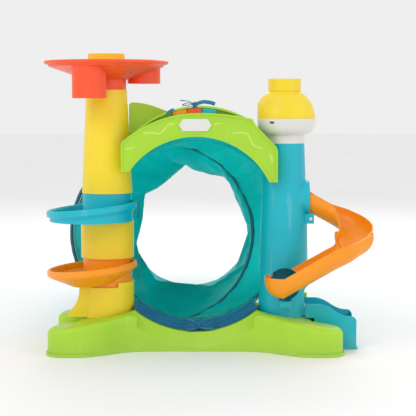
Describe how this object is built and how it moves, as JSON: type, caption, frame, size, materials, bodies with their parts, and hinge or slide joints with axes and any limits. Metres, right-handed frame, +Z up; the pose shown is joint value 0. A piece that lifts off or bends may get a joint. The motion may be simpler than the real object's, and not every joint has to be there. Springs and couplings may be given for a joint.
{
  "type": "toddler activity tunnel",
  "caption": "Toddler activity set: moulded base, two ball-drop towers, an arch with sliders and a collapsible fabric crawl tunnel.",
  "frame": {"origin": "on the floor, midway between the two tower axes", "axes": "+X towards the tower with the spiral trough, +Y along the tunnel away from the front, +Z up"},
  "size_m": [0.814, 1.11, 0.732],
  "materials": {
    "lime_plastic": "blow-moulded, soft gloss",
    "yellow_plastic": "moulded, soft gloss",
    "orange_plastic": "moulded, soft gloss",
    "coral_plastic": "moulded, soft gloss",
    "cyan_plastic": "moulded, soft gloss",
    "white_plastic": "moulded, soft gloss",
    "screw_steel": "zinc plated",
    "hoop_cover": "fabric-covered hoop",
    "nylon": "thin coated nylon, slightly see-through",
    "ribbon": "woven ribbon"
  },
  "bodies": {
    "stand": {"base_frame": "lime_plastic", "base_screws": "screw_steel", "chute_base": "yellow_plastic", "lower_tray": "orange_plastic", "tower_collar": "yellow_plastic", "upper_tray": "cyan_plastic", "upper_hub_ramp": "cyan_plastic", "left_column": "yellow_plastic", "funnel_dish": "coral_plastic", "funnel_tube": "yellow_plastic", "right_column_lower": "cyan_plastic", "right_column_upper": "cyan_plastic", "lower_ball_ramp": "cyan_plastic", "upper_ball_ramp": "cyan_plastic", "bowl": "white_plastic", "dome_cap": "yellow_plastic", "spiral_upper": "orange_plastic", "spiral_lower": "orange_plastic", "trough_screws": "white_plastic", "exit_ramp": "cyan_plastic", "arch_front": "lime_plastic", "arch_back": "lime_plastic", "arch_screws": "screw_steel", "arc_rail": "lime_plastic", "plaque": "white_plastic", "hoop_front": "hoop_cover", "hoop_second": "hoop_cover", "tunnel_fabric": "nylon", "mouth_apron": "nylon", "tie_top": "ribbon", "tie_bottom": "ribbon", "tie_left": "ribbon"},
    "hoop_third_body": {"hoop_third": "hoop_cover"},
    "hoop_fourth_body": {"hoop_fourth": "hoop_cover"},
    "hoop_rear_body": {"hoop_rear": "hoop_cover"},
    "slider_orange_body": {"slider_orange": "orange_plastic"},
    "slider_coral_body": {"slider_coral": "coral_plastic"},
    "slider_cyan_body": {"slider_cyan": "cyan_plastic"}
  },
  "joints": [
    {"name": "tunnel_collapse", "type": "slide", "parent": "stand", "child": "hoop_rear_body", "axis": [0, -1, 0], "range_m": [0, 0.744], "deforming": ["tunnel_fabric"]},
    {"name": "hoop_fourth_slide", "type": "slide", "parent": "stand", "child": "hoop_fourth_body", "axis": [0, -1, 0], "range_m": [0, 0.496], "deforming": ["tunnel_fabric"]},
    {"name": "hoop_third_slide", "type": "slide", "parent": "stand", "child": "hoop_third_body", "axis": [0, -1, 0], "range_m": [0, 0.248], "deforming": ["tunnel_fabric"]},
    {"name": "slider_cyan_turn", "type": "hinge", "parent": "stand", "child": "slider_cyan_body", "pos_m": [0.011, -0.05, 0.373], "axis": [0, 1, 0], "range_deg": [0, 22]},
    {"name": "slider_coral_turn", "type": "hinge", "parent": "stand", "child": "slider_coral_body", "pos_m": [0.011, -0.05, 0.373], "axis": [0, 1, 0], "range_deg": [0, 14.7]},
    {"name": "slider_orange_turn", "type": "hinge", "parent": "stand", "child": "slider_orange_body", "pos_m": [0.011, -0.05, 0.373], "axis": [0, 1, 0], "range_deg": [0, 7.35]}
  ],
  "couplings": [
    {"joint": "hoop_fourth_slide", "follows": "tunnel_collapse", "ratio": 0.66666},
    {"joint": "hoop_third_slide", "follows": "tunnel_collapse", "ratio": 0.33333},
    {"joint": "slider_coral_turn", "follows": "slider_cyan_turn", "ratio": 0.667},
    {"joint": "slider_orange_turn", "follows": "slider_cyan_turn", "ratio": 0.333}
  ]
}
